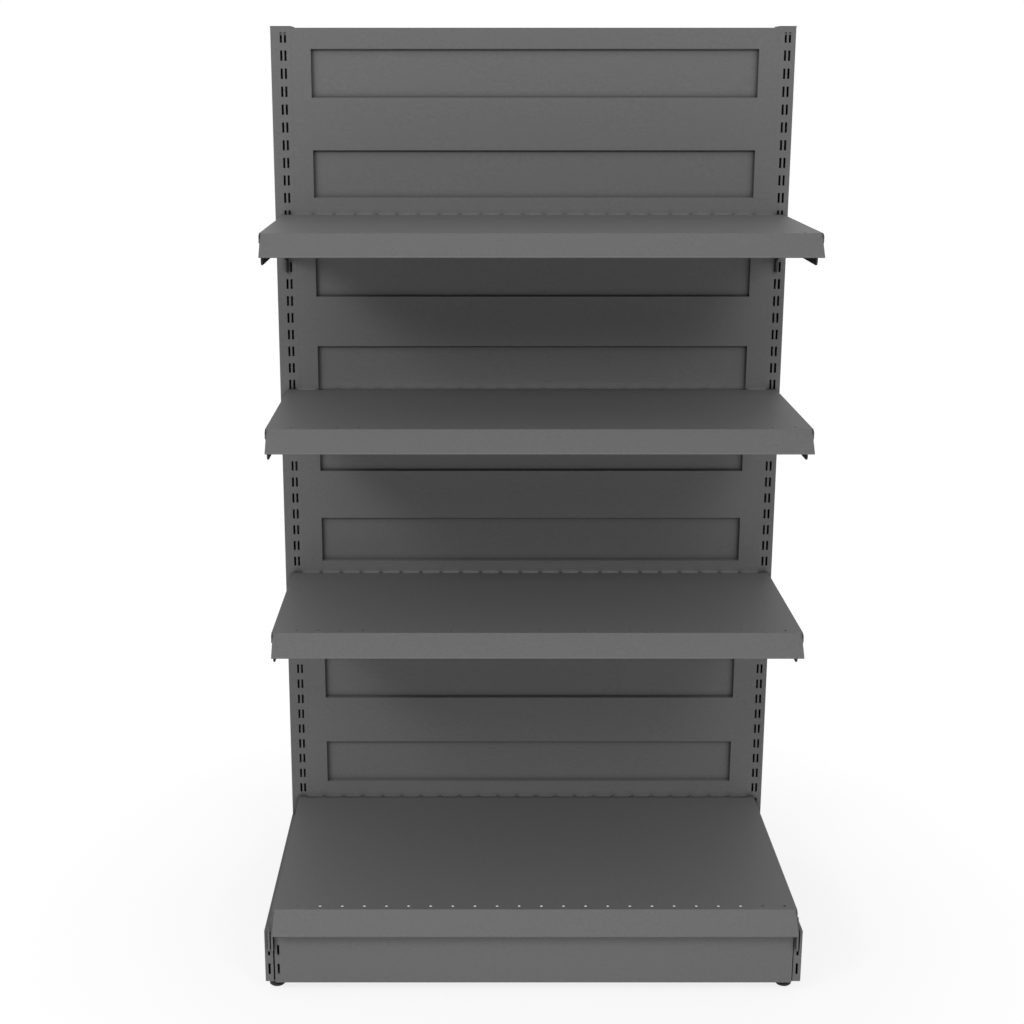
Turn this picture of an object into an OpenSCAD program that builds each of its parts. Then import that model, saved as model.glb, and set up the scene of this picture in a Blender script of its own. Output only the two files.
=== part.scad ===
// Single-sided gondola shelving bay: slotted uprights, back panels, three bracketed
// shelves, a base deck on two legs, and a kick plate.
// Local frame: X to the right, Y to the back, Z up from the floor.

/* [Bay] */
// Distance between the centres of the two uprights
bay_pitch = 920; // [700:10:1200]
// Height of the upright tops above the floor
bay_h = 1670; // [1500:10:2200]

/* [Uprights] */
// Width of the upright tube, seen from the front
tube_w = 30; // [28:1:40]
// Depth of the upright tube
tube_d = 60; // [50:1:90]
// Wall of the upright tube
tube_wall = 2; // [1.5:0.1:3]
// Radius of the outer edges of the uprights, the trim and the legs
corner_r = 2; // [0.5:0.1:2.5]
// Vertical step of the slots
slot_pitch = 32; // [30:1:40]
// Height of one slot
slot_h = 18.5; // [16:0.5:20]
// Width of one slot
slot_w = 4; // [3.6:0.1:5]
// Distance between the two slot columns of an upright
slot_gap = 7.6; // [7:0.1:10]
// Sideways offset of the left upright's slots from its middle
left_slot_shift = 1.2; // [-0.4:0.1:2]
// Distance from the upright's top to the centre of its first slot
slot_top = 20; // [14:1:40]
// Width of the trim strip outside the left upright
trim_w = 6.8; // [5:0.1:15]
// Sheet of the trim strip
trim_t = 1.2; // [0.8:0.1:2]
// Thickness of the top plugs' caps
plug_t = 2; // [1:0.5:2.5]
// Width of the sloped wing beside a top plug
plug_wing = 9; // [4:1:20]
// Depth of a top plug's skirt in the tube
plug_l = 14; // [8:1:15]
// Diameter of a trim screw
trim_screw_d = 4; // [3:0.5:5]
// Height of a trim screw's head
trim_head_h = 1.5; // [1:0.1:3]
// Distance of the outer trim screws from the trim's ends
trim_screw_end = 60; // [30:5:150]

/* [Shelves] */
// Height of the top shelf's surface above the floor
shelf_1_h = 1331.5; // [1250:0.5:1400]
// Height of the middle shelf's surface above the floor
shelf_2_h = 1001; // [950:1:1060]
// Height of the lowest shelf's surface above the floor
shelf_3_h = 636; // [600:1:680]
// How much wider a shelf is than the distance between the uprights' centres
shelf_over = 14; // [12.5:0.5:24]
// Depth of a shelf's flat top
shelf_d = 374; // [300:1:450]
// Sheet of the shelves and the deck
sheet_t = 1.2; // [0.8:0.1:1.5]
// Height of the front lips of the shelves and the deck
lip_h = 37.5; // [32:0.5:44]
// How far a lip leans forward at its bottom
lip_lean = 34.5; // [20:0.5:38]
// Width of the fold back along a lip's bottom
lip_return = 9; // [6:1:14]
// Height of a shelf's side hems
hem_h = 16; // [12:1:24]
// How far a side hem runs on past the flat top
hem_nose = 8; // [4:1:12]
// Drop of a side hem's upper edge from the fold to its front end
hem_corner = 4; // [2:0.5:6]
// Inset of a lip's ends from the side hems
lip_inset = 2; // [2:0.5:8]
// Height of the flange folded down along a shelf's back
back_flange_h = 8; // [5:1:12]
// Gap between a shelf and the uprights
wall_gap = 0.5; // [0.3:0.1:2]

/* [Shelf holes] */
// Step of the front holes and of the back slots
hole_pitch = 39.2; // [30:0.2:60]
// Diameter of a front hole
hole_d = 5.5; // [4:0.5:8]
// Distance of the front holes from the front fold
hole_inset = 13; // [9:1:30]
// Distance of the first front hole from the left edge
hole_margin = 43; // [30:1:60]
// Least distance of the last front hole from the right edge
hole_end = 18; // [15:1:40]
// Length of a slot in a shelf's back edge
back_slot_l = 35; // [20:1:36]
// Depth of a slot in a shelf's back edge, seen from above
back_slot_w = 8; // [4:1:12]
// How far a back slot runs down into the back flange
back_slot_drop = 4; // [2:0.5:4.5]

/* [Shelf stiffeners] */
// Depth of a stiffening channel, front to back
rib_d = 60; // [40:1:90]
// Height of a stiffening channel
rib_h = 22; // [12:1:30]
// Width of a stiffening channel's welding flanges
rib_flange = 12; // [8:1:20]
// Gap between a stiffening channel's ends and the brackets
rib_end_gap = 6; // [3:1:20]

/* [Brackets] */
// Thickness of a bracket plate
bracket_t = 3; // [2:0.1:3.4]
// Height of a bracket below the shelf surface at its front
bracket_front_h = 52; // [45:1:60]
// Height of a bracket below the shelf surface beside its heel
bracket_back_h = 84; // [70:1:90]
// Depth of the narrow heel that carries a bracket's lowest hook
bracket_heel = 9; // [6:1:20]
// Distance from the wall over which a bracket's lower edge rises to its front height
bracket_ramp = 100; // [40:1:160]
// How far a bracket reaches on past the shelf's flat top
bracket_over = 10; // [4:1:12]
// Size of the bevel on a bracket's front lower corner
bracket_bevel = 4; // [2:1:20]
// Height of a hook's neck in its slot
hook_neck = 10; // [8:0.5:14]
// How far a hook's nose reaches down behind the wall
hook_nose = 6; // [4:0.5:8]
// Thickness of a hook's nose, front to back
hook_t = 4; // [3:0.5:6]

/* [Back panels] */
// Sheet of the back panels
panel_t = 1; // [0.8:0.1:1.5]
// Depth of a panel's folded edges
panel_flange = 15; // [12:1:20]
// Gap between a panel and the upright beside it
panel_side_gap = 0.1; // [0.1:0.1:1]
// Distance from the uprights' tops down to the top panel
panel_top_drop = 3; // [3:1:20]
// Length of a panel's side tongue in the upright
tongue_l = 5; // [4:0.5:7]
// Thickness of a side tongue
tongue_t = 2; // [1:0.1:3]
// Height of a pressed-in band
band_h = 89; // [60:1:110]
// Depth of a pressed-in band
band_d = 9; // [5:0.5:10]
// Vertical step of the two bands of a panel
band_pitch = 181; // [150:1:190]
// Slope of a band's top and bottom walls, front to back
band_slope = 3; // [0:0.5:8]
// Distance from a band's ends to the uprights
band_margin = 36.2; // [25:0.1:60]
// Drop of the first band below the first panel's top
band_drop_1 = 36; // [30:1:60]
// Drop of the first band below the second panel's top
band_drop_2 = 49.5; // [30:0.5:60]
// Drop of the first band below the third panel's top
band_drop_3 = 36; // [30:1:60]
// Drop of the first band below the fourth panel's top
band_drop_4 = 100.5; // [30:0.5:120]
// Drop of the seam behind the top shelf
seam_drop_1 = 16; // [10:1:40]
// Drop of the seam behind the middle shelf
seam_drop_2 = 37; // [20:1:50]
// Drop of the seam behind the lowest shelf
seam_drop_3 = 75; // [40:1:90]
// Drop of the last panel's bottom below the deck surface
panel_foot_drop = 3; // [0:1:20]

/* [Rear rails] */
// Height of a rear cross rail
rail_h = 40; // [30:1:60]
// Depth of a rear cross rail
rail_d = 20; // [15:1:30]
// Sheet of a rear cross rail
rail_t = 1.5; // [1:0.1:2.5]
// Drop of the top rail's centre below the uprights' tops
rail_top_drop = 32; // [32:1:60]
// Thickness of a rail's end plates
rail_plate_t = 3; // [2:0.5:5]
// Diameter of a rail screw
screw_d = 6; // [5:1:8]
// Length of a rail screw under its head
screw_l = 10; // [8:1:12]
// Vertical distance of the two screws of a rail end
screw_pitch = 22; // [16:1:24]
// Radial clearance of a screw in its hole
screw_gap = 0.05; // [0.02:0.01:0.1]

/* [Base] */
// Height of the deck's surface above the floor
deck_h = 160; // [140:1:200]
// How much wider the deck is than the distance between the uprights' centres
deck_over = 6; // [2:0.5:10]
// Depth of the deck's flat top
deck_d = 485; // [450:1:560]
// Height of the deck's side skirts, which stand on the legs
skirt_h = 40; // [38:1:46]
// Sideways offset of the deck from the bay's centre
deck_shift = -4; // [-6:0.5:3]
// Distance of the deck's first front hole from its left edge
deck_hole_margin = 44; // [30:1:60]
// Drop of the front corner tabs' ends below the deck's surface
tab_drop = 73; // [60:1:90]
// Gap between a front corner tab and the leg behind it
tab_gap = 0.5; // [0.3:0.1:1]
// Depth of a front corner tab, front to back
tab_w = 9; // [5:0.5:11]
// Thickness of a front corner tab's two prongs
tab_t = 3.2; // [2:0.1:4]
// Width of the groove between the prongs
tab_groove = 2.4; // [1.5:0.1:4]
// Width of a base leg
leg_w = 32; // [28:1:36]
// How far the base legs reach on past the deck's flat top
leg_over = 7; // [6:0.5:9]
// Height of a base leg's underside above the floor
leg_z = 23; // [21:1:30]
// Sheet of a base leg
leg_t = 2; // [1.5:0.1:3]
// Sideways offset of the legs from the uprights
leg_shift = -6; // [-7:0.5:0]
// Width of the seam down the middle of a leg's front
leg_seam_w = 2.4; // [0.5:0.1:4]
// Distance of a leg's slot columns from its centre
leg_slot_x = 8.2; // [7:0.1:10]
// Height of a slot in a leg's front
leg_slot_h = 21; // [18:0.5:24]
// Height of a leg's lower slot centre above the floor
leg_slot_z = 47.5; // [44:0.5:55]
// Vertical step of a leg's slots
leg_slot_pitch = 36.7; // [34:0.1:38]

/* [Kick plate] */
// Sheet of the kick plate
kick_t = 1.2; // [0.8:0.1:2]
// Height of the kick plate's bottom above the floor
kick_z = 21; // [16:1:30]
// Gap between the kick plate's top and the deck's lip bottom
kick_top_gap = 11; // [2:1:14]
// Distance of the kick plate's left end from the middle of the left leg
kick_in_left = 2; // [2:0.5:4]
// Distance of the kick plate's right end from the middle of the right leg
kick_in_right = 0.5; // [0:0.5:3]
// Depth of the kick plate's folded edges
kick_fold = 12; // [8:1:20]
// Distance of the folded edges' ends from the legs
kick_end_gap = 3; // [1:1:10]
// Width of a kick plate hook
kick_hook_w = 3; // [2:0.1:3.4]
// Thickness of a kick plate hook
kick_hook_t = 2; // [1:0.1:2.4]
// How far a kick plate hook reaches down behind the leg's front
kick_nose = 6; // [4:0.5:7]

/* [Feet] */
// Diameter of a foot's pad
pad_d = 28; // [24:1:34]
// Height of a foot's pad
pad_h = 9; // [6:0.5:10]
// Diameter of a foot's stud
stud_d = 8; // [6:1:10]
// Length of a foot's stud above its pad
stud_l = 46; // [40:1:60]
// Radial clearance of a stud in its threaded hole
stud_gap = 0.05; // [0.02:0.01:0.1]
// Distance of the front feet from the legs' front
foot_inset = 35; // [24:1:60]
// Inward offset of the left front foot from its leg's centre
foot_in_left = 1; // [0:0.5:6]
// Inward offset of the right front foot from its leg's centre
foot_in_right = 8; // [0:0.5:9]
// Height of a foot plate's boss
boss_h = 12; // [8:1:20]
// Diameter of a foot plate's boss
boss_d = 14; // [13:0.5:16]
// Thickness of a foot plate
foot_plate_t = 3; // [2:0.5:5]
// Height of a foot's lock nut
nut_h = 5; // [4:0.5:6.5]
// Width of a foot's lock nut across its flats
nut_w = 13; // [12:0.5:17]

/* [Hidden] */

steel = "dimgray";
plastic = "#55575a";
dark_steel = "#3c3d3f";
zinc = "silver";
rubber = "#1c1c1e";
$fn = 48;
// Overlap of joined volumes and of cuts past a face
bite = 0.5;
// Clearance between faces that slide past each other
slip = 0.05;
// Outer radius of a fold and the facets across it
fold_r = 1.8;
fold_steps = 4;

up_x = bay_pitch / 2;
tube_in = tube_w / 2 - tube_wall;
inner_x = up_x - tube_w / 2;
trim_x = -up_x - tube_w / 2;
// Offsets that put the origin under the middle of the whole bay
bay_x = (trim_w + trim_head_h) / 2;
wall_y = -(min([for (p = folded(top_path(deck_d, deck_h))) p[0]]) + tube_d) / 2;
upright_z = leg_z;
// Middle of the two slot columns of the upright on side s
function slot_x(s) = s * up_x + (s < 0 ? left_slot_shift : 0);
slot_z0 = bay_h - slot_top;
slot_rows = floor((slot_z0 - upright_z - slot_h) / slot_pitch) + 1;
function slot_z(row) = slot_z0 - slot_pitch * row;
function slot_floor(row) = slot_z(row) - slot_h / 2;
// First slot row whose lower edge lies at least this drop under a height
function row_below(z, drop) = ceil((slot_z0 - slot_h / 2 - z + drop) / slot_pitch);

shelf_heights = [shelf_1_h, shelf_2_h, shelf_3_h];
shelf_w = bay_pitch + shelf_over;
panel_top = [
    bay_h - panel_top_drop,
    shelf_1_h - seam_drop_1,
    shelf_2_h - seam_drop_2,
    shelf_3_h - seam_drop_3
];
panel_foot = [panel_top[1], panel_top[2], panel_top[3], deck_h - panel_foot_drop];
band_drop = [band_drop_1, band_drop_2, band_drop_3, band_drop_4];
panel_x = inner_x - panel_side_gap;
band_x = inner_x - band_margin;
rail_z = concat([bay_h - rail_top_drop], [panel_foot[0], panel_foot[1], panel_foot[2], panel_foot[3]]);
rail_y = panel_flange;

leg_top = deck_h - skirt_h;
leg_d = deck_d + leg_over;
foot_d = leg_d - foot_inset;
deck_w = bay_pitch + deck_over;
deck_nose = leg_over + tab_gap;
left_leg_x = -up_x + leg_shift;
right_leg_x = up_x + leg_shift;
leg_slots = [leg_slot_z, leg_slot_z + leg_slot_pitch];
kick_top = deck_h - lip_h - kick_top_gap;
stud_hole_d = stud_d + 2 * stud_gap;
rear_foot_y = tube_d / 2;
foot_places = [
    [left_leg_x + foot_in_left, -foot_d],
    [right_leg_x - foot_in_right, -foot_d],
    [-up_x, rear_foot_y],
    [up_x, rear_foot_y]
];

// Sheet-metal sections: a path for the outer skin, thickened to one side

function unit(v) = v / norm(v);
function side(v) = [-v[1], v[0]];
function turned(v, a) = [v[0] * cos(a) - v[1] * sin(a), v[0] * sin(a) + v[1] * cos(a)];
function fold(a, p, b, r) =
    let (u = unit(p - a), v = unit(b - p))
    let (turn = atan2(u[0] * v[1] - u[1] * v[0], u * v))
    let (arm = sign(turn) * r * side(u))
    let (centre = p - r * tan(abs(turn) / 2) * u + arm)
    [for (k = [0 : 1 / fold_steps : 1]) centre - turned(arm, turn * k)];
function folded(path) = concat(
    [path[0]],
    [for (i = [1 : len(path) - 2]) each fold(path[i - 1], path[i], path[i + 1], fold_r)],
    [path[len(path) - 1]]
);
function mitre(a, p, b) =
    let (m = side(unit(p - a)), n = side(unit(b - p)))
    (m + n) / (1 + m * n);
function skin(path, t) = [for (i = [0 : len(path) - 1])
    i == 0 ? path[0] + t * side(unit(path[1] - path[0]))
    : i == len(path) - 1 ? path[i] + t * side(unit(path[i] - path[i - 1]))
    : path[i] + t * mitre(path[i - 1], path[i], path[i + 1])];
function reversed(list) = [for (i = [len(list) - 1 : -1 : 0]) list[i]];
function sheet(path, t) =
    let (outer = folded(path))
    concat(outer, reversed(skin(outer, t)));

// Outer skin of a shelf or the deck, from the back flange over the top to the lip's return
function top_path(d, z) = [
    [-wall_gap, z - back_flange_h],
    [-wall_gap, z],
    [-d, z],
    [-d - lip_lean, z - lip_h],
    [-d - lip_lean + lip_return, z - lip_h]
];

// Closed outline with each corner rounded by its own radius
function rounded(points, radii) =
    let (n = len(points))
    [for (i = [0 : n - 1]) each
        radii[i] == 0 ? [points[i]]
        : fold(points[(i + n - 1) % n], points[i], points[(i + 1) % n], radii[i])];

module at_wall() {
    translate([bay_x, wall_y, 0])
        children();
}

// Box from its low to its high corner
module span(low, high) {
    translate(low)
        cube(high - low);
}

// Box with its standing edges rounded on the left and on the right
module post(low, high, left_r, right_r) {
    translate([0, 0, low[2]])
        linear_extrude(high[2] - low[2])
            polygon(rounded(
                [[low[0], low[1]], [high[0], low[1]], [high[0], high[1]], [low[0], high[1]]],
                [left_r, right_r, right_r, left_r]
            ));
}

// Section in Y and Z, drawn out along X
module along_x(x0, x1, points) {
    translate([x0, 0, 0])
        rotate([90, 0, 90])
            linear_extrude(x1 - x0)
                polygon(points);
}

module mirror_x() {
    children();
    mirror([1, 0, 0])
        children();
}

// Uprights

module slot_cuts(x) {
    for (row = [0 : slot_rows - 1])
        for (s = [-1, 1])
            translate([x + s * slot_gap / 2, 0, slot_z(row)])
                cube([slot_w, 2 * tube_wall + bite, slot_h], center = true);
}

// Heights of the side slots' lower edges for a back panel's tongues
function tongue_z(k) = [panel_top[k] - panel_flange - slot_h, panel_foot[k] + panel_flange];

module side_slot_cuts(s) {
    for (k = [0 : 3])
        for (z = tongue_z(k))
            translate([s * inner_x, panel_flange / 2, z + slot_h / 2])
                cube([2 * tube_wall + bite, slot_w, slot_h], center = true);
}

// Children at the screws of a rail's end on side s, facing out along X
module at_rail_screws(s, z) {
    for (e = [-1, 1])
        translate([s * (inner_x - rail_plate_t), rail_y + rail_d / 2, z + e * screw_pitch / 2])
            rotate([0, s * 90, 0])
                children();
}

module upright(s) {
    color(steel)
    at_wall()
        difference() {
            post(
                [s * up_x - tube_w / 2, 0, upright_z],
                [s * up_x + tube_w / 2, tube_d, bay_h - plug_t],
                0, s > 0 ? corner_r : 0
            );
            span(
                [s * up_x - tube_in, tube_wall, upright_z - bite],
                [s * up_x + tube_in, tube_d - tube_wall, bay_h]
            );
            slot_cuts(slot_x(s));
            side_slot_cuts(s);
            for (z = rail_z)
                at_rail_screws(s, z)
                    cylinder(h = rail_plate_t + tube_wall + bite, d = screw_d + 2 * screw_gap);
            if (s < 0)
                at_trim_screws()
                    cylinder(h = trim_w + tube_wall + bite, d = trim_screw_d + 2 * screw_gap);
        }
}

// Children at the trim screws, facing in along X
module at_trim_screws() {
    for (z = [upright_z + trim_screw_end, (upright_z + bay_h) / 2, bay_h - trim_screw_end])
        translate([trim_x - trim_w, tube_d / 2, z])
            rotate([0, 90, 0])
                children();
}

module left_end_trim() {
    color(steel)
    at_wall()
        difference() {
            post([trim_x - trim_w, 0, upright_z], [trim_x, tube_d, bay_h - plug_t], corner_r, 0);
            span(
                [trim_x - trim_w + trim_t, trim_t, upright_z - bite],
                [trim_x + bite, tube_d - trim_t, bay_h]
            );
            at_trim_screws()
                translate([0, 0, -bite])
                    cylinder(h = trim_t + 2 * bite, d = trim_screw_d + 2 * screw_gap);
        }
}

module trim_screws() {
    color(zinc)
    at_wall()
        at_trim_screws() {
            translate([0, 0, -trim_head_h])
                cylinder(h = trim_head_h, d = 1.8 * trim_screw_d);
            translate([0, 0, -bite])
                cylinder(h = bite + trim_w + tube_wall + 1, d = trim_screw_d);
        }
}

// A cap over the tube's mouth with a sloped wing toward the panels and a skirt
// inside the tube; the left one also covers the trim
module top_plug(s, outside) {
    fit = 0.2;
    wall = 2;
    skirt_y = tube_wall + fit;
    color(plastic)
    at_wall()
        mirror([s > 0 ? 0 : 1, 0, 0])
            union() {
                span([inner_x, 0, bay_h - plug_t], [up_x + tube_w / 2 + outside, tube_d, bay_h]);
                translate([0, panel_flange, 0])
                    rotate([90, 0, 0])
                        linear_extrude(panel_flange)
                            polygon([
                                [inner_x - plug_wing, bay_h - panel_top_drop],
                                [inner_x, bay_h - panel_top_drop],
                                [inner_x, bay_h - plug_t],
                                [inner_x + bite, bay_h - plug_t],
                                [inner_x + bite, bay_h],
                                [inner_x, bay_h]
                            ]);
                difference() {
                    span(
                        [up_x - tube_in + fit, skirt_y, bay_h - plug_t - plug_l],
                        [up_x + tube_in - fit, tube_d - tube_wall - fit, bay_h - plug_t + bite]
                    );
                    span(
                        [up_x - tube_in + fit + wall, skirt_y + wall, bay_h - plug_t - plug_l - bite],
                        [up_x + tube_in - fit - wall, tube_d - tube_wall - fit - wall, bay_h - plug_t]
                    );
                }
            }
}

// Plate with a threaded boss in the bottom of an upright
module foot_plate(s) {
    fit = 0.1;
    color(steel)
    at_wall()
        difference() {
            union() {
                span(
                    [s * up_x - tube_in + fit, tube_wall + fit, upright_z],
                    [s * up_x + tube_in - fit, tube_d - tube_wall - fit, upright_z + foot_plate_t]
                );
                translate([s * up_x, rear_foot_y, upright_z])
                    cylinder(h = foot_plate_t + boss_h, d = boss_d);
            }
            translate([s * up_x, rear_foot_y, upright_z - bite])
                cylinder(h = foot_plate_t + boss_h + 2 * bite, d = stud_hole_d);
        }
}

// Back panels

module band_pocket(z_top) {
    z_low = z_top - band_h;
    outer = [
        [0, z_top], [band_d, z_top - band_slope], [band_d, z_low + band_slope], [0, z_low]
    ];
    inner = [
        [-bite, z_top - panel_t], [0, z_top - panel_t],
        [band_d - panel_t, z_top - band_slope - panel_t],
        [band_d - panel_t, z_low + band_slope + panel_t],
        [0, z_low + panel_t], [-bite, z_low + panel_t]
    ];
    difference() {
        along_x(-band_x - panel_t, band_x + panel_t, outer);
        along_x(-band_x, band_x, inner);
    }
}

// Tops of the bands that find room on a panel
function bands(k) = [
    for (i = [0, 1])
        let (z = panel_top[k] - band_drop[k] - i * band_pitch)
        if (z - band_h > panel_foot[k] + 2 * panel_t) z
];

// Straight tongue on a panel's side that rests in a side slot of the upright
module side_tongue(z) {
    span(
        [panel_x - bite, (panel_flange - tongue_t) / 2, z],
        [panel_x + panel_side_gap + tongue_l, (panel_flange + tongue_t) / 2, z + hook_neck]
    );
}

module back_panel(k) {
    z1 = panel_top[k];
    z0 = panel_foot[k];
    color(steel)
    at_wall()
        union() {
            difference() {
                span([-panel_x, 0, z0], [panel_x, panel_flange, z1]);
                span(
                    [-panel_x + panel_t, panel_t, z0 + panel_t],
                    [panel_x - panel_t, panel_flange + bite, z1 - panel_t]
                );
                for (z = bands(k))
                    span([-band_x - panel_t / 2, -bite, z - band_h + panel_t / 2],
                        [band_x + panel_t / 2, panel_t + bite, z - panel_t / 2]);
            }
            for (z = bands(k))
                band_pocket(z);
            mirror_x()
                for (z = tongue_z(k))
                    side_tongue(z);
        }
}

// Rear cross rails

module rear_rail(k) {
    z0 = rail_z[k] - rail_h / 2;
    color(steel)
    at_wall()
        difference() {
            span([-inner_x, rail_y, z0], [inner_x, rail_y + rail_d, z0 + rail_h]);
            span(
                [-inner_x + rail_plate_t, rail_y + rail_t, z0 + rail_t],
                [inner_x - rail_plate_t, rail_y + rail_d + bite, z0 + rail_h - rail_t]
            );
            for (s = [-1, 1])
                at_rail_screws(s, rail_z[k])
                    translate([0, 0, -bite])
                        cylinder(h = rail_plate_t + 2 * bite, d = screw_d + 2 * screw_gap);
        }
}

module rail_screws() {
    head_d = 1.7 * screw_d;
    head_h = 0.65 * screw_d;
    color(zinc)
    at_wall()
        for (z = rail_z)
            for (s = [-1, 1])
                at_rail_screws(s, z) {
                    translate([0, 0, -head_h])
                        cylinder(h = head_h, d = head_d, $fn = 6);
                    translate([0, 0, -bite])
                        cylinder(h = bite + screw_l, d = screw_d);
                }
}

// Hook of a plate of thickness t: a neck on a slot's lower edge and a nose behind the wall
module wall_hook(x, t, row) {
    z0 = slot_floor(row);
    span([x - t / 2, -bite, z0], [x + t / 2, tube_wall + hook_t, z0 + hook_neck]);
    span(
        [x - t / 2, tube_wall, z0 - hook_nose],
        [x + t / 2, tube_wall + hook_t, z0 + hook_neck]
    );
}

// Base legs

module leg(s, foot_x) {
    x = s * up_x + leg_shift;
    x0 = x - leg_w / 2;
    x1 = x + leg_w / 2;
    rows = [row_below(leg_top, hook_neck + leg_t), row_below(leg_top, hook_neck + leg_t) + 1];
    color(steel)
    at_wall()
        union() {
            difference() {
                post([x0, -leg_d, leg_z], [x1, 0, leg_top], corner_r, corner_r);
                span([x0 + leg_t, -leg_d + leg_t, leg_z + leg_t], [x1 - leg_t, -leg_t, leg_top - leg_t]);
                for (c = [-1, 1])
                    for (z = leg_slots)
                        translate([x + c * leg_slot_x, -leg_d + leg_t / 2, z])
                            cube([slot_w, leg_t + 2 * bite, leg_slot_h], center = true);
                span([x - leg_seam_w / 2, -leg_d - bite, leg_z + leg_t],
                    [x + leg_seam_w / 2, -leg_d + leg_t + bite, leg_top - leg_t]);
                translate([foot_x, -foot_d, leg_z - bite])
                    cylinder(h = leg_t + 2 * bite, d = stud_hole_d);
            }
            translate([foot_x, -foot_d, leg_z + leg_t - bite])
                difference() {
                    cylinder(h = boss_h + bite, d = boss_d);
                    translate([0, 0, -bite])
                        cylinder(h = boss_h + 3 * bite, d = stud_hole_d);
                }
            for (row = rows)
                for (c = [-1, 1])
                    wall_hook(slot_x(s) + c * slot_gap / 2, bracket_t, row);
        }
}

// Shelves and deck: a folded sheet with side hems, front holes and back slots

module hole_row(w, d, z, margin) {
    count = floor((w - margin - hole_end) / hole_pitch) + 1;
    for (i = [0 : count - 1])
        translate([-w / 2 + margin + i * hole_pitch, -d + hole_inset, z - sheet_t - bite])
            cylinder(h = sheet_t + 2 * bite, d = hole_d, $fn = 16);
}

module back_slots(w, z) {
    count = floor((w - 2 * lip_inset) / hole_pitch);
    for (i = [0 : count - 1])
        translate([
            (i - (count - 1) / 2) * hole_pitch - back_slot_l / 2,
            -wall_gap - back_slot_w,
            z - back_slot_drop
        ])
            cube([back_slot_l, back_slot_w + bite, back_slot_drop + bite]);
}

module pressed_deck(w, d, z, hem, nose, margin) {
    difference() {
        union() {
            along_x(-w / 2 + lip_inset, w / 2 - lip_inset, sheet(top_path(d, z), sheet_t));
            mirror_x() {
                span([w / 2 - lip_inset - bite, -d + fold_r, z - sheet_t], [w / 2, -wall_gap, z]);
                along_x(w / 2 - sheet_t, w / 2, [
                    [-wall_gap, z], [-d, z], [-d - nose, z - hem_corner], [-d - nose, z - hem], [-wall_gap, z - hem]
                ]);
            }
        }
        hole_row(w, d, z, margin);
        back_slots(w, z);
    }
}

module shelf(k) {
    color(steel)
    at_wall()
        pressed_deck(shelf_w, shelf_d, shelf_heights[k], hem_h, hem_nose, hole_margin);
}

// Channel at a front corner of the deck that reaches down in front of the leg: a web
// with two prongs, of which the inner one starts higher, beside the lip's end
module deck_tab(s) {
    y = -deck_d - deck_nose;
    x0 = deck_w / 2 - sheet_t;
    x1 = x0 + tab_t + tab_groove;
    low = deck_h - tab_drop;
    color(steel)
    at_wall()
        translate([deck_shift, 0, 0])
            mirror([s > 0 ? 0 : 1, 0, 0])
                union() {
                    span([x0, y - sheet_t, low], [x1 + tab_t, y, leg_top]);
                    along_x(x0, x0 + tab_t, [
                        [y, low], [y, deck_h - tab_w - 2 * sheet_t], [y - tab_w, leg_top], [y - tab_w, low]
                    ]);
                    along_x(x1, x1 + tab_t, [
                        [y, low], [y, leg_top + tab_w], [y - tab_w, leg_top], [y - tab_w, low]
                    ]);
                }
}

module base_deck() {
    color(steel)
    at_wall()
        translate([deck_shift, 0, 0])
            pressed_deck(deck_w, deck_d, deck_h, skirt_h, deck_nose, deck_hole_margin);
}

// Hat-shaped channel welded under a sheet
module stiffener(half_w, y, z) {
    top = z - sheet_t;
    low = top - rib_h;
    path = [
        [y - rib_d / 2 - rib_flange, top - rail_t],
        [y - rib_d / 2, top - rail_t],
        [y - rib_d / 2, low],
        [y + rib_d / 2, low],
        [y + rib_d / 2, top - rail_t],
        [y + rib_d / 2 + rib_flange, top - rail_t]
    ];
    color(steel)
    at_wall()
        along_x(-half_w, half_w, sheet(path, rail_t));
}

rib_half = up_x - slot_gap / 2 - bracket_t / 2 - rib_end_gap;

// Brackets: both hang in the left slot column of their upright

module bracket(s, k) {
    top = shelf_heights[k];
    z = top - sheet_t;
    low = top - bracket_front_h;
    reach = shelf_d + bracket_over;
    // Follows the underside of the leaning lip
    nose_z = top - bracket_over * lip_h / lip_lean - 8 * sheet_t;
    x = slot_x(s) - slot_gap / 2;
    first = row_below(top, hook_neck + back_flange_h + 1);
    heel_z = min(slot_floor(first + 2), top - bracket_back_h - bracket_t);
    outline = [
        [0, top - back_flange_h - 1],
        [-wall_gap - 2 * sheet_t, top - back_flange_h - 1],
        [-wall_gap - 2 * sheet_t, z],
        [-shelf_d + 2 * fold_r, z],
        [-reach, nose_z],
        [-reach, low + bracket_bevel],
        [-reach + bracket_bevel, low],
        [-bracket_ramp, low],
        [-bracket_heel, top - bracket_back_h],
        [-bracket_heel, heel_z],
        [0, heel_z]
    ];
    color(dark_steel)
    at_wall()
        union() {
            along_x(x - bracket_t / 2, x + bracket_t / 2, outline);
            for (row = [first : first + 2])
                wall_hook(x, bracket_t, row);
        }
}

// Kick plate

// Bent tongue that rests on the lower edge of a leg's slot and drops behind the leg's front
module kick_hook(x, z) {
    y0 = -leg_d - kick_t;
    y1 = -leg_d + leg_t + slip;
    low = z - leg_slot_h / 2;
    span([x - kick_hook_w / 2, y0, low], [x + kick_hook_w / 2, y1 + kick_hook_t, low + kick_hook_t]);
    span(
        [x - kick_hook_w / 2, y1, low - kick_nose],
        [x + kick_hook_w / 2, y1 + kick_hook_t, low + kick_hook_t]
    );
}

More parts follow.
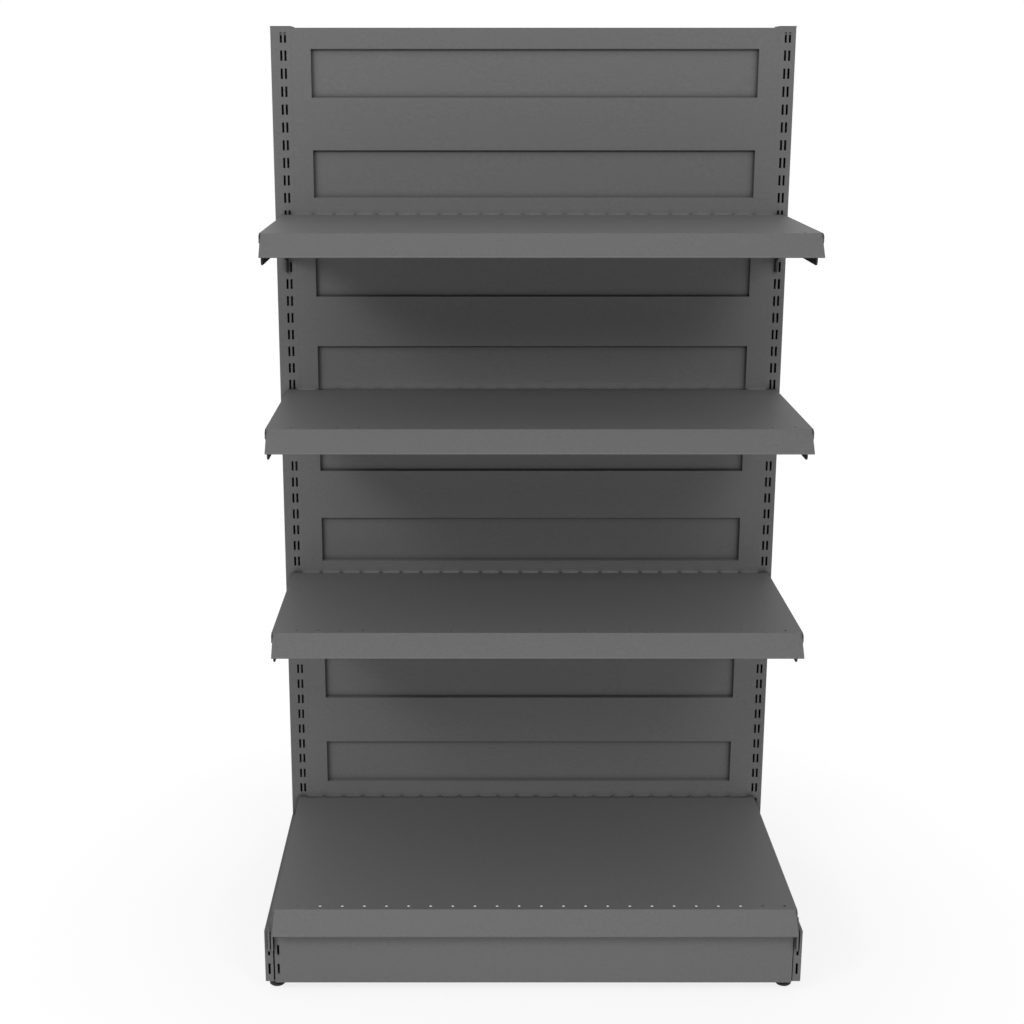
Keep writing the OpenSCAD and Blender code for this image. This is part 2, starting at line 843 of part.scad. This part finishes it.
module kick_plate() {
    y0 = -leg_d - kick_t;
    window_x = left_leg_x + leg_slot_x;
    color(steel)
    at_wall()
        union() {
            difference() {
                span([left_leg_x + kick_in_left, y0, kick_z], [right_leg_x - kick_in_right, -leg_d, kick_top]);
                for (z = leg_slots)
                    translate([window_x, y0 + kick_t / 2, z])
                        cube([slot_w, kick_t + 2 * bite, leg_slot_h], center = true);
            }
            for (z = [kick_z, kick_top - kick_t])
                span(
                    [left_leg_x + leg_w / 2 + kick_end_gap, y0, z],
                    [right_leg_x - leg_w / 2 - kick_end_gap, -leg_d + kick_fold, z + kick_t]
                );
            for (z = leg_slots) {
                kick_hook(window_x, z);
                kick_hook(right_leg_x - leg_slot_x, z);
            }
        }
}

// Levelling feet

module foot_pad(k) {
    rim = 1.5;
    color(rubber)
    at_wall()
        translate([foot_places[k][0], foot_places[k][1], 0])
            rotate_extrude()
                polygon([
                    [0, 0], [pad_d / 2 - rim, 0], [pad_d / 2, rim], [pad_d / 2, pad_h / 2],
                    [pad_d / 3, pad_h], [0, pad_h]
                ]);
}

module foot_stud(k) {
    bevel = 1;
    color(zinc)
    at_wall()
        translate([foot_places[k][0], foot_places[k][1], pad_h])
            rotate_extrude()
                polygon([
                    [0, 0], [stud_d / 2, 0], [stud_d / 2, stud_l - bevel],
                    [stud_d / 2 - bevel, stud_l], [0, stud_l]
                ]);
}

module foot_nuts() {
    color(zinc)
    at_wall()
        for (p = foot_places)
            translate([p[0], p[1], leg_z - nut_h])
                difference() {
                    cylinder(h = nut_h, d = nut_w / cos(30), $fn = 6);
                    translate([0, 0, -bite])
                        cylinder(h = nut_h + 2 * bite, d = stud_hole_d);
                }
}

upright(-1);  // left_upright
upright(1);  // right_upright
left_end_trim();
trim_screws();
top_plug(-1, trim_w);  // left_top_plug
top_plug(1, 0);  // right_top_plug
foot_plate(-1);  // left_foot_plate
foot_plate(1);  // right_foot_plate
back_panel(0);  // back_panel_1
back_panel(1);  // back_panel_2
back_panel(2);  // back_panel_3
back_panel(3);  // back_panel_4
rear_rail(0);  // rear_rail_1
rear_rail(1);  // rear_rail_2
rear_rail(2);  // rear_rail_3
rear_rail(3);  // rear_rail_4
rear_rail(4);  // rear_rail_5
rail_screws();
leg(-1, foot_places[0][0]);  // left_base_leg
leg(1, foot_places[1][0]);  // right_base_leg
base_deck();
stiffener(rib_half - leg_w, -deck_d / 2, deck_h);  // deck_stiffener
deck_tab(-1);  // left_deck_tab
deck_tab(1);  // right_deck_tab
kick_plate();
shelf(0);  // shelf_1
shelf(1);  // shelf_2
shelf(2);  // shelf_3
stiffener(rib_half, -shelf_d / 2, shelf_heights[0]);  // shelf_stiffener_1
stiffener(rib_half, -shelf_d / 2, shelf_heights[1]);  // shelf_stiffener_2
stiffener(rib_half, -shelf_d / 2, shelf_heights[2]);  // shelf_stiffener_3
bracket(-1, 0);  // left_bracket_1
bracket(-1, 1);  // left_bracket_2
bracket(-1, 2);  // left_bracket_3
bracket(1, 0);  // right_bracket_1
bracket(1, 1);  // right_bracket_2
bracket(1, 2);  // right_bracket_3
foot_pad(0);  // front_left_foot_pad
foot_pad(1);  // front_right_foot_pad
foot_pad(2);  // rear_left_foot_pad
foot_pad(3);  // rear_right_foot_pad
foot_stud(0);  // front_left_foot_stud
foot_stud(1);  // front_right_foot_stud
foot_stud(2);  // rear_left_foot_stud
foot_stud(3);  // rear_right_foot_stud
foot_nuts();
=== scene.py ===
"""Looks of a single-sided gondola shelving bay in dark grey powder-coated steel."""

import math

import bpy
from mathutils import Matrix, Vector

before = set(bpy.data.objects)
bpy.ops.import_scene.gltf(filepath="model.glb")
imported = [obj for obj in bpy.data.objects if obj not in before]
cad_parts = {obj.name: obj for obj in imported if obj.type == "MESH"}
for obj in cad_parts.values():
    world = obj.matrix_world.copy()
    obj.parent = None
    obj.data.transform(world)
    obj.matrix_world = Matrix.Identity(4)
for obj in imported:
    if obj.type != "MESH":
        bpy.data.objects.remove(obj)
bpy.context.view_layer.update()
scene = bpy.context.scene

# Linear base colours
STEEL = (0.128, 0.128, 0.129)
BRACKET = (0.016, 0.016, 0.017)
ZINC = (0.42, 0.43, 0.44)
PLUG = (0.070, 0.070, 0.073)
RUBBER = (0.018, 0.018, 0.019)
FLOOR = (0.92, 0.92, 0.92)
WHITE = (1.0, 1.0, 1.0)

# Roughness, which the coat's grain varies by ROUGH_SPREAD to each side
STEEL_ROUGH = 0.55
BRACKET_ROUGH = 0.5
ROUGH_SPREAD = 0.05
ZINC_ROUGH = 0.38
PLUG_ROUGH = 0.5
RUBBER_ROUGH = 0.75
FLOOR_ROUGH = 0.9

# Noise cells per metre along X, Y and Z
STREAKS_PER_M = (180.0, 260.0, 380.0)
CLOUDS_PER_M = (8.0, 8.0, 24.0)
GRAIN_PER_M = (900.0,) * 3
PEEL_PER_M = (260.0,) * 3
ZINC_SPECKS_PER_M = (700.0,) * 3
PLUG_GRAIN_PER_M = (1200.0,) * 3
RUBBER_GRAIN_PER_M = (900.0,) * 3

# Noise values between which the coat's patterns change
STREAK_RANGE = (0.3, 0.7)
CLOUD_RANGE = (0.2, 0.8)
SPECK_RANGE = (0.35, 0.65)

# Tones of each pattern from dark to light, as shares of its colour
COAT_TONES = (0.9, 1.0, 1.1)
SPECK_TONES = (0.95, 1.05)
ZINC_TONES = (0.8, 1.15)
MOULDED_TONES = (0.85, 1.2)

COAT_SPECULAR = 0.3

# Wave units per metre of the studs' bands; a band is pi / 10 of a unit, so they are 7.9 mm apart
STUD_WAVE_PER_M = 40.0

# Painted shade darkens the coat's colour in creases and recesses: reach, darkest tone, and the openness
# at which it is darkest and plain
CREASE_SHADE_M = 0.014
CREASE_SHADE_TONE = 0.35
CREASE_SHADE_OPENNESS = (0.45, 0.95)
CREASE_SHADE_SAMPLES = 8

FLOOR_HALF_M = 20.0

# The floor's own white: distances between which it grows, its shares there, and its strength
FADE_M = (0.6, 1.3)
FADE_SHARES = (0.8, 1.0)
FLOOR_GLOW = 1.03

# World light on the object, and soft lights: name, place, aim, size in metres and power in watts
WORLD_LIGHT = 0.46
SOFTBOXES = (
    ("key", (-2.6, -2.8, 3.0), (0.0, 0.0, 0.6), (1.0, 1.0), 49.0),
    ("key_front", (-2.0, -4.4, 3.6), (0.0, 0.0, 0.8), (1.8, 1.8), 26.0),
    ("fill", (2.1, -4.2, 3.7), (0.0, 0.0, 0.8), (1.8, 1.8), 67.0),
    ("low", (0.0, -1.9, 0.25), (0.0, 0.0, 0.4), (1.6, 0.4), 3.0),
)

# Camera of the photograph, placed in metres in the model's own frame
IMAGE_PX = 1024
FOCAL_PX = 1699.7
PRINCIPAL_X_PX = 473.6
PITCH_DEG = 14.60
CAMERA_AT = (-0.10765, -2.98101, 1.5939)
SENSOR_MM = 36.0


def fill(tree, socket, value):
    """Sets a socket to a value, or links it where the value is a socket."""
    if isinstance(value, bpy.types.NodeSocket):
        tree.links.new(value, socket)
    else:
        socket.default_value = value


def add(tree, kind, **inputs):
    """A shader node with its inputs filled by name."""
    node = tree.nodes.new(kind)
    for name, value in inputs.items():
        fill(tree, node.inputs[name.replace("_", " ")], value)
    return node


def mixed(tree, factor, a, b, blend="MIX"):
    """Two colours mixed by a factor."""
    node = tree.nodes.new("ShaderNodeMix")
    node.data_type = "RGBA"
    node.blend_type = blend
    # Inputs 0, 6 and 7 are the factor and the two colours of a colour mix, and output 2 is its result
    for index, value in ((0, factor), (6, a), (7, b)):
        fill(tree, node.inputs[index], value)
    return node.outputs[2]


def ramp(tree, value, low, high, out_low=0.0, out_high=1.0):
    """A value mapped from low..high to out_low..out_high, clamped."""
    node = tree.nodes.new("ShaderNodeMapRange")
    for index, number in enumerate((value, low, high, out_low, out_high)):
        fill(tree, node.inputs[index], number)
    return node.outputs[0]


def worked_out(tree, operation, a, b):
    """Two numbers joined by a Math node."""
    node = tree.nodes.new("ShaderNodeMath")
    node.operation = operation
    fill(tree, node.inputs[0], a)
    fill(tree, node.inputs[1], b)
    return node.outputs[0]


def tones(colour, *shares):
    """Node colours that are shares of a colour."""
    return [tuple(share * c for c in colour) + (1.0,) for share in shares]


def material(name):
    """A new material, its node tree and its shader."""
    made = bpy.data.materials.new(name)
    made.use_nodes = True
    tree = made.node_tree
    return made, tree, tree.nodes["Principled BSDF"]


def placed(tree, per_m):
    """Object coordinates, as units of a pattern with so many to the metre."""
    coords = tree.nodes.new("ShaderNodeTexCoord")
    mapping = add(tree, "ShaderNodeMapping", Vector=coords.outputs["Object"], Scale=per_m)
    return mapping.outputs["Vector"]


def noise(tree, per_m, detail):
    """Noise that sits on the piece."""
    node = add(tree, "ShaderNodeTexNoise", Vector=placed(tree, per_m), Scale=1.0, Detail=detail)
    return node.outputs["Fac"]


def bumped(tree, shader, height, strength, metres):
    """Raises a shader's surface by a height pattern."""
    bump = add(tree, "ShaderNodeBump", Strength=strength, Distance=metres, Height=height)
    tree.links.new(bump.outputs["Normal"], shader.inputs["Normal"])


def powder_coat(name, colour, roughness):
    """Baked powder coat: fine orange peel over faintly streaked sheet, with painted shade that darkens
    its colour in creases and recesses.
    """
    made, tree, shader = material(name)
    streaks = noise(tree, STREAKS_PER_M, detail=2.0)
    clouds = noise(tree, CLOUDS_PER_M, detail=3.0)
    grain = noise(tree, GRAIN_PER_M, detail=2.0)
    peel = noise(tree, PEEL_PER_M, detail=2.0)

    dark, plain, light = tones(colour, *COAT_TONES)
    shade = mixed(tree, ramp(tree, streaks, *STREAK_RANGE), dark, light)
    shade = mixed(tree, ramp(tree, clouds, *CLOUD_RANGE), shade, plain)
    specks = mixed(tree, ramp(tree, grain, *SPECK_RANGE), *tones(WHITE, *SPECK_TONES))
    shade = mixed(tree, 1.0, shade, specks, "MULTIPLY")
    # Painted shade: an ambient occlusion node darkens the base colour in creases, recesses and between
    # parts
    openness = add(tree, "ShaderNodeAmbientOcclusion", Distance=CREASE_SHADE_M)
    openness.samples = CREASE_SHADE_SAMPLES
    unshaded_share = ramp(tree, openness.outputs["AO"], *CREASE_SHADE_OPENNESS)
    painted_crease_shade = mixed(tree, unshaded_share, *tones(WHITE, CREASE_SHADE_TONE, 1.0))
    shade = mixed(tree, 1.0, shade, painted_crease_shade, "MULTIPLY")
    tree.links.new(shade, shader.inputs["Base Color"])

    rough = ramp(tree, grain, 0.0, 1.0, roughness - ROUGH_SPREAD, roughness + ROUGH_SPREAD)
    tree.links.new(rough, shader.inputs["Roughness"])
    bumped(tree, shader, worked_out(tree, "ADD", grain, peel), strength=0.25, metres=0.00012)
    shader.inputs["Specular IOR Level"].default_value = COAT_SPECULAR
    return made


def zinc_plate(name, banded):
    """Bright zinc with a fine speckle, and bands along Z where asked, as a plain sign of a thread."""
    made, tree, shader = material(name)
    specks = noise(tree, ZINC_SPECKS_PER_M, detail=4.0)
    tree.links.new(mixed(tree, specks, *tones(ZINC, *ZINC_TONES)), shader.inputs["Base Color"])
    shader.inputs["Metallic"].default_value = 1.0
    shader.inputs["Roughness"].default_value = ZINC_ROUGH
    if banded:
        along = placed(tree, (0.0, 0.0, STUD_WAVE_PER_M))
        wave = add(tree, "ShaderNodeTexWave", Vector=along, Scale=1.0)
        wave.bands_direction = "Z"
        bumped(tree, shader, wave.outputs["Fac"], strength=0.9, metres=0.0006)
    else:
        bumped(tree, shader, specks, strength=0.15, metres=0.0001)
    return made


def moulded(name, colour, roughness, grain_per_m):
    """Moulded plastic or rubber with a fine grain."""
    made, tree, shader = material(name)
    grain = noise(tree, grain_per_m, detail=3.0)
    tree.links.new(mixed(tree, grain, *tones(colour, *MOULDED_TONES)), shader.inputs["Base Color"])
    shader.inputs["Roughness"].default_value = roughness
    bumped(tree, shader, grain, strength=0.3, metres=0.0001)
    return made


coat = powder_coat("coated_steel", STEEL, STEEL_ROUGH)
bracket_coat = powder_coat("bracket_steel", BRACKET, BRACKET_ROUGH)
zinc = zinc_plate("zinc", banded=False)
stud_zinc = zinc_plate("stud_zinc", banded=True)
plug = moulded("plug_plastic", PLUG, PLUG_ROUGH, PLUG_GRAIN_PER_M)
rubber = moulded("pad_rubber", RUBBER, RUBBER_ROUGH, RUBBER_GRAIN_PER_M)


def finish_of(name):
    """The material of a node, by the kind of piece that its name tells."""
    if "bracket" in name:
        return bracket_coat
    if name.endswith("_foot_stud"):
        return stud_zinc
    if name.endswith(("_screws", "_nuts")):
        return zinc
    if name.endswith("_top_plug"):
        return plug
    if name.endswith("_foot_pad"):
        return rubber
    return coat


for name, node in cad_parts.items():
    node.data.materials.clear()
    node.data.materials.append(finish_of(name))


def seen_rays(tree):
    """1 for the rays that show the surroundings: camera, glossy and transmission rays."""
    rays = tree.nodes.new("ShaderNodeLightPath")
    value = rays.outputs["Is Camera Ray"]
    for kind in ("Is Glossy Ray", "Is Transmission Ray"):
        value = worked_out(tree, "MAXIMUM", value, rays.outputs[kind])
    return value


def floor_material():
    """Pale floor that fades to the white background away from the object and keeps its shadow."""
    made, tree, shader = material("floor")
    shader.inputs["Base Color"].default_value = FLOOR + (1.0,)
    shader.inputs["Roughness"].default_value = FLOOR_ROUGH
    coords = tree.nodes.new("ShaderNodeTexCoord")
    away = tree.nodes.new("ShaderNodeVectorMath")
    away.operation = "LENGTH"
    tree.links.new(coords.outputs["Object"], away.inputs[0])
    share = ramp(tree, away.outputs["Value"], *FADE_M, *FADE_SHARES)
    glow = add(tree, "ShaderNodeEmission", Color=WHITE + (1.0,), Strength=FLOOR_GLOW)
    mix = tree.nodes.new("ShaderNodeMixShader")
    tree.links.new(worked_out(tree, "MULTIPLY", share, seen_rays(tree)), mix.inputs[0])
    tree.links.new(shader.outputs[0], mix.inputs[1])
    tree.links.new(glow.outputs[0], mix.inputs[2])
    tree.links.new(mix.outputs[0], tree.nodes["Material Output"].inputs["Surface"])
    return made


def square(name, half):
    """A flat square at floor height."""
    mesh = bpy.data.meshes.new(name)
    corners = [(-half, -half, 0), (half, -half, 0), (half, half, 0), (-half, half, 0)]
    mesh.from_pydata(corners, [], [(0, 1, 2, 3)])
    made = bpy.data.objects.new(name, mesh)
    scene.collection.objects.link(made)
    return made


floor = square("floor", FLOOR_HALF_M)
floor.data.materials.append(floor_material())


def softbox(name, at, towards, size, watts):
    """A soft rectangular light that faces a point."""
    light = bpy.data.lights.new(name, "AREA")
    light.shape = "RECTANGLE"
    light.size, light.size_y = size
    light.energy = watts
    made = bpy.data.objects.new(name, light)
    scene.collection.objects.link(made)
    made.location = at
    made.rotation_euler = (Vector(towards) - Vector(at)).to_track_quat("-Z", "Y").to_euler()


for light in SOFTBOXES:
    softbox(*light)


def studio_world():
    """Even light on the object, and white where the surroundings are seen."""
    world = bpy.data.worlds.new("studio")
    world.use_nodes = True
    tree = world.node_tree
    tree.nodes.clear()
    strength = ramp(tree, seen_rays(tree), 0.0, 1.0, WORLD_LIGHT, 1.0)
    background = add(tree, "ShaderNodeBackground", Color=WHITE + (1.0,), Strength=strength)
    output = tree.nodes.new("ShaderNodeOutputWorld")
    tree.links.new(background.outputs[0], output.inputs["Surface"])
    return world


def photo_camera():
    """The photograph's camera, which looks square at the bay's front and down by its pitch."""
    data = bpy.data.cameras.new("camera")
    data.sensor_width = SENSOR_MM
    data.lens = SENSOR_MM * FOCAL_PX / IMAGE_PX
    data.shift_x = (IMAGE_PX / 2 - PRINCIPAL_X_PX) / IMAGE_PX
    made = bpy.data.objects.new("camera", data)
    made.location = CAMERA_AT
    made.rotation_euler = (math.radians(90 - PITCH_DEG), 0.0, 0.0)
    scene.collection.objects.link(made)
    return made


scene.world = studio_world()
scene.camera = photo_camera()
scene.view_settings.view_transform = "Standard"
